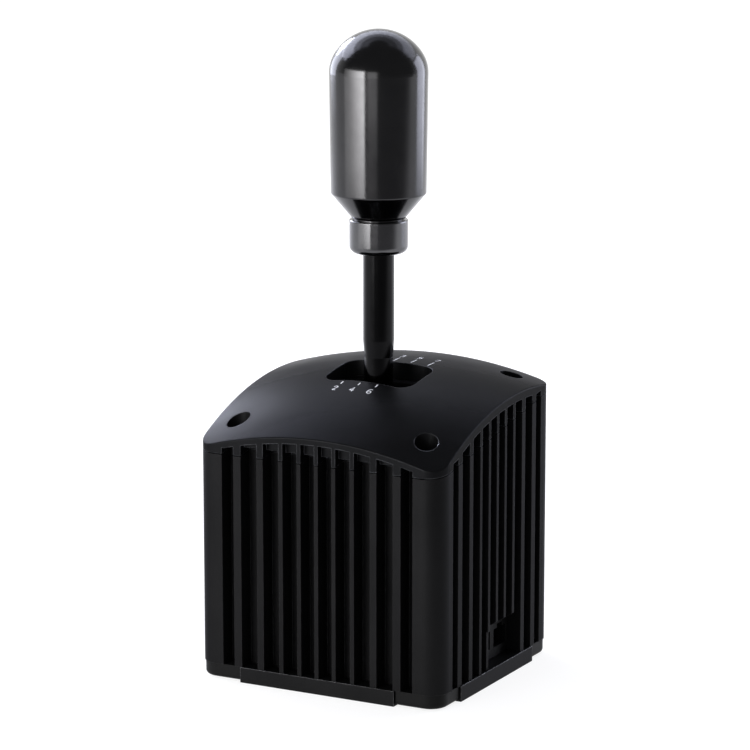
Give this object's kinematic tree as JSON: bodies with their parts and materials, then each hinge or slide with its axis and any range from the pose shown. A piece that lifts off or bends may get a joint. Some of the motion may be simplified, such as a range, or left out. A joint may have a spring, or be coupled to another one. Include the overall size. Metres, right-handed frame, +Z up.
{
  "type": "sim racing gear shifter",
  "caption": "H-pattern gear shifter for sim racing: finned box with a sloping domed cover, upright steel lever and a long domed round knob.",
  "frame": {"origin": "middle of the footprint on the surface the shifter stands on", "axes": "+Z up, -Y towards the side with the even gears, +X towards the side with the two sockets"},
  "size_m": [0.1048, 0.0958, 0.2459],
  "materials": {
    "housing_black": "fine-textured matt black coat",
    "cover_grey": "satin dark grey coat",
    "liner_black": "matt",
    "base_black": "matt black coat",
    "foot_black": "matt moulded",
    "screw_black": "black oxide",
    "steel_plain": "ground",
    "frame_metal": "milled",
    "bronze": "plain bearing bronze",
    "spring_steel": "drawn wire",
    "magnet_nickel": "nickel plated",
    "board_green": "solder mask",
    "chip_black": "moulded",
    "socket_black": "moulded",
    "contact_gold": "gold plated",
    "shaft_black": "polished black",
    "knob_metal": "satin dark anodised",
    "collar_metal": "satin dark anodised"
  },
  "bodies": {
    "housing": {"base_plate": "base_black", "base_screws": "screw_black", "board_chips": "chip_black", "board_screws": "screw_black", "board_standoffs": "steel_plain", "corner_feet": "foot_black", "cover_screws": "screw_black", "detent_magnets": "magnet_nickel", "dust_plate": "liner_black", "finned_housing": "housing_black", "foot_screws": "screw_black", "front_socket": "socket_black", "front_upright": "frame_metal", "gate_plate": "steel_plain", "gate_screws": "screw_black", "left_centring_spring": "spring_steel", "left_spring_rail": "frame_metal", "main_board": "board_green", "mount_inserts": "steel_plain", "position_sensor": "chip_black", "rail_screws": "screw_black", "rear_socket": "socket_black", "rear_upright": "frame_metal", "right_centring_spring": "spring_steel", "right_spring_rail": "frame_metal", "select_bushes": "bronze", "socket_bezel": "liner_black", "socket_contacts": "contact_gold", "top_cover": "cover_grey", "upright_screws": "screw_black"},
    "swing_frame": {"tilting_frame": "frame_metal", "axle_bushes": "bronze"},
    "lever": {"lever_block": "frame_metal", "block_set_screws": "screw_black", "shift_axle": "steel_plain", "friction_washers": "bronze", "gate_pin": "steel_plain", "pin_magnet": "magnet_nickel", "lever_shaft": "shaft_black", "knob": "knob_metal", "knob_collar": "collar_metal"}
  },
  "joints": [
    {"name": "select", "type": "hinge", "parent": "housing", "child": "swing_frame", "pos_m": [0, 0.002, 0.078], "axis": [0, 1, 0], "range_deg": [-16, 16], "stiffness_Nm_per_rad": 2.5, "deforming": ["left_centring_spring", "right_centring_spring"]},
    {"name": "shift", "type": "hinge", "parent": "swing_frame", "child": "lever", "pos_m": [0, 0.002, 0.078], "axis": [1, 0, 0], "range_deg": [-7.5, 7.5]}
  ]
}
